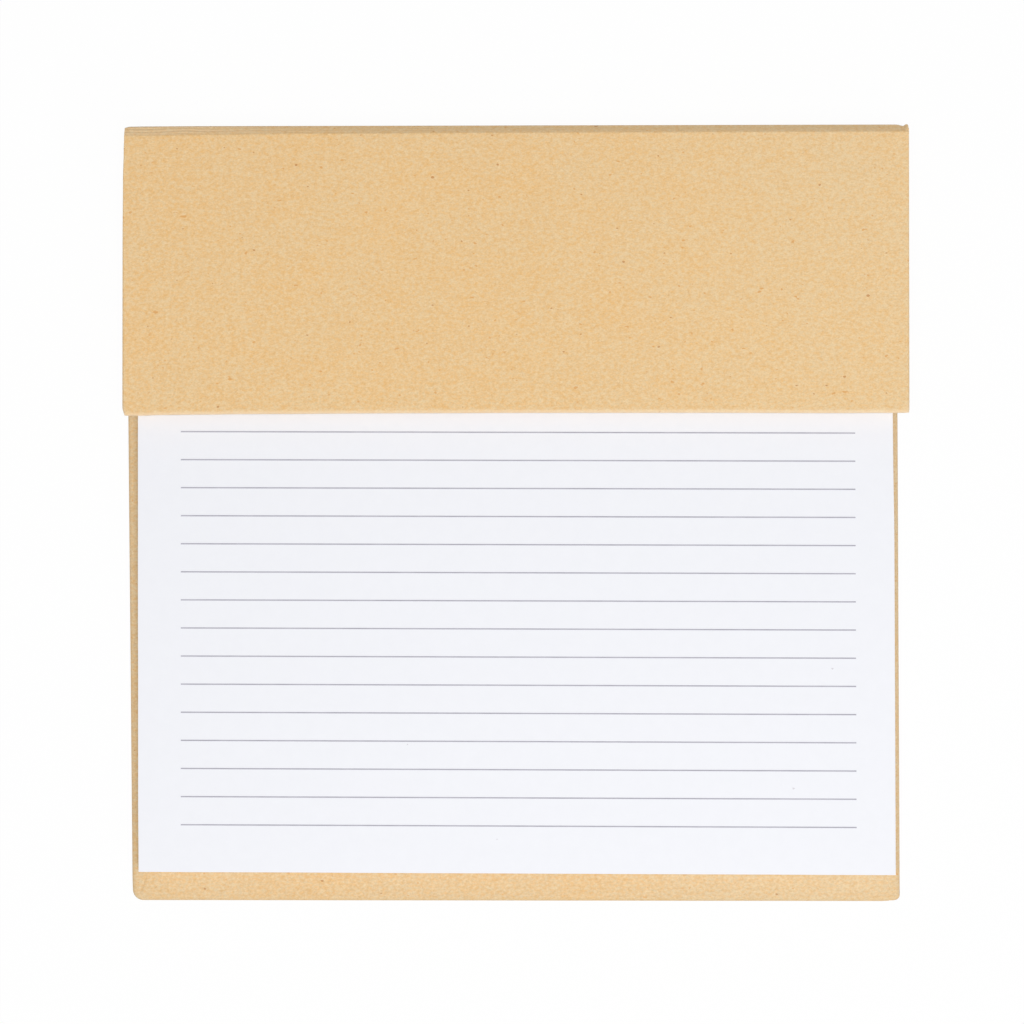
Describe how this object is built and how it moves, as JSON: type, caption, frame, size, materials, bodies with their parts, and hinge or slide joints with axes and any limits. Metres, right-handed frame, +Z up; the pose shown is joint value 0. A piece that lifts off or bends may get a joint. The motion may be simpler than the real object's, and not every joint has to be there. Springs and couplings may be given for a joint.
{
  "type": "desktop notepad organizer",
  "caption": "Kraft-covered desk organizer: a ruled tear-off notepad on a board base, with a hinged cover flap over a shallow tray at the back.",
  "frame": {"origin": "middle of the underside, on the surface that the organizer stands on", "axes": "+X to the right along the flap's hinge, +Y from the free edge of the pad towards the hinge, +Z up"},
  "size_m": [0.2176, 0.2156, 0.016],
  "materials": {
    "kraft_paper": "matt brown kraft paper glued over greyboard, with fine fibres and flecks",
    "kraft_lining": "matt brown kraft lining paper",
    "grey_card": "matt grey backing card",
    "white_paper": "smooth white writing paper",
    "padding_glue": "dried white padding glue",
    "grey_ink": "grey printed ink on paper"
  },
  "bodies": {
    "case": {"base_board": "kraft_paper", "spine_board": "kraft_paper", "left_wall": "kraft_paper", "right_wall": "kraft_paper", "front_wall": "kraft_paper", "tray_liner": "kraft_lining", "backing_card": "grey_card", "page_block": "white_paper", "head_glue": "padding_glue", "ruled_lines": "grey_ink"},
    "cover": {"cover_flap": "kraft_paper", "cover_liner": "kraft_lining"}
  },
  "joints": [
    {"name": "cover_hinge", "type": "hinge", "parent": "case", "child": "cover", "pos_m": [0, 0.1054, 0.016], "axis": [-1, 0, 0], "range_deg": [0, 180]}
  ]
}
